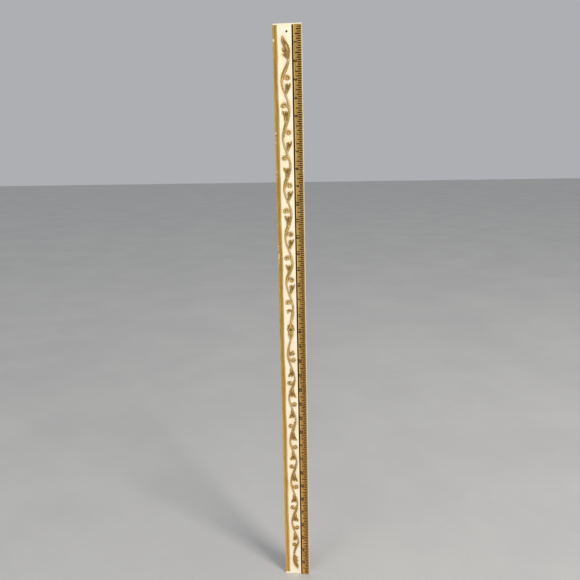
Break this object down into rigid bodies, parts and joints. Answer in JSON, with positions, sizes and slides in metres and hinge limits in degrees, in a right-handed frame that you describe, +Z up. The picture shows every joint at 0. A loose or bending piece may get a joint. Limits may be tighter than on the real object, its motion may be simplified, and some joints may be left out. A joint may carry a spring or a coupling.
{
  "type": "measuring stick",
  "caption": "Painted wooden wall yardstick with a graduated gilt rule along one edge, a narrow groove beside it, an applied gilt vine scroll down the panel, and a hanging hole",
  "frame": {"origin": "centre of the board's flat foot face", "axes": "+Z up the stick from its foot to its top end, +X across it towards the rule, +Y into the wall behind it, so the decorated front faces -Y"},
  "size_m": [0.042, 0.0127, 0.916],
  "materials": {
    "painted_board": "cream paint over wood, with a hand-painted gold band down the left edge, worn on the edges",
    "gilt_rule": "aged gold paint rubbed over wood, with marks filled dark brown and a pale worn outer edge",
    "gilt_ornament": "moulded composition, painted gold with a brown wash in the hollows"
  },
  "bodies": {
    "root": {"backboard": "painted_board", "rule_strip": "gilt_rule", "centre_flower": "gilt_ornament", "flower_eye": "gilt_ornament", "lower_flower_branch": "gilt_ornament", "lower_terminal_leaf": "gilt_ornament", "lower_vine_curls_1": "gilt_ornament", "lower_vine_curls_2": "gilt_ornament", "lower_vine_curls_3": "gilt_ornament", "lower_vine_curls_4": "gilt_ornament", "lower_vine_curls_5": "gilt_ornament", "lower_vine_leaves_1": "gilt_ornament", "lower_vine_leaves_2": "gilt_ornament", "lower_vine_leaves_3": "gilt_ornament", "lower_vine_leaves_4": "gilt_ornament", "lower_vine_leaves_5": "gilt_ornament", "lower_vine_stem_1": "gilt_ornament", "lower_vine_stem_2": "gilt_ornament", "lower_vine_stem_3": "gilt_ornament", "lower_vine_stem_4": "gilt_ornament", "lower_vine_stem_5": "gilt_ornament", "upper_flower_branch": "gilt_ornament", "upper_terminal_leaf": "gilt_ornament", "upper_vine_curls_1": "gilt_ornament", "upper_vine_curls_2": "gilt_ornament", "upper_vine_curls_3": "gilt_ornament", "upper_vine_curls_4": "gilt_ornament", "upper_vine_curls_5": "gilt_ornament", "upper_vine_leaves_1": "gilt_ornament", "upper_vine_leaves_2": "gilt_ornament", "upper_vine_leaves_3": "gilt_ornament", "upper_vine_leaves_4": "gilt_ornament", "upper_vine_leaves_5": "gilt_ornament", "upper_vine_stem_1": "gilt_ornament", "upper_vine_stem_2": "gilt_ornament", "upper_vine_stem_3": "gilt_ornament", "upper_vine_stem_4": "gilt_ornament", "upper_vine_stem_5": "gilt_ornament"}
  },
  "joints": []
}
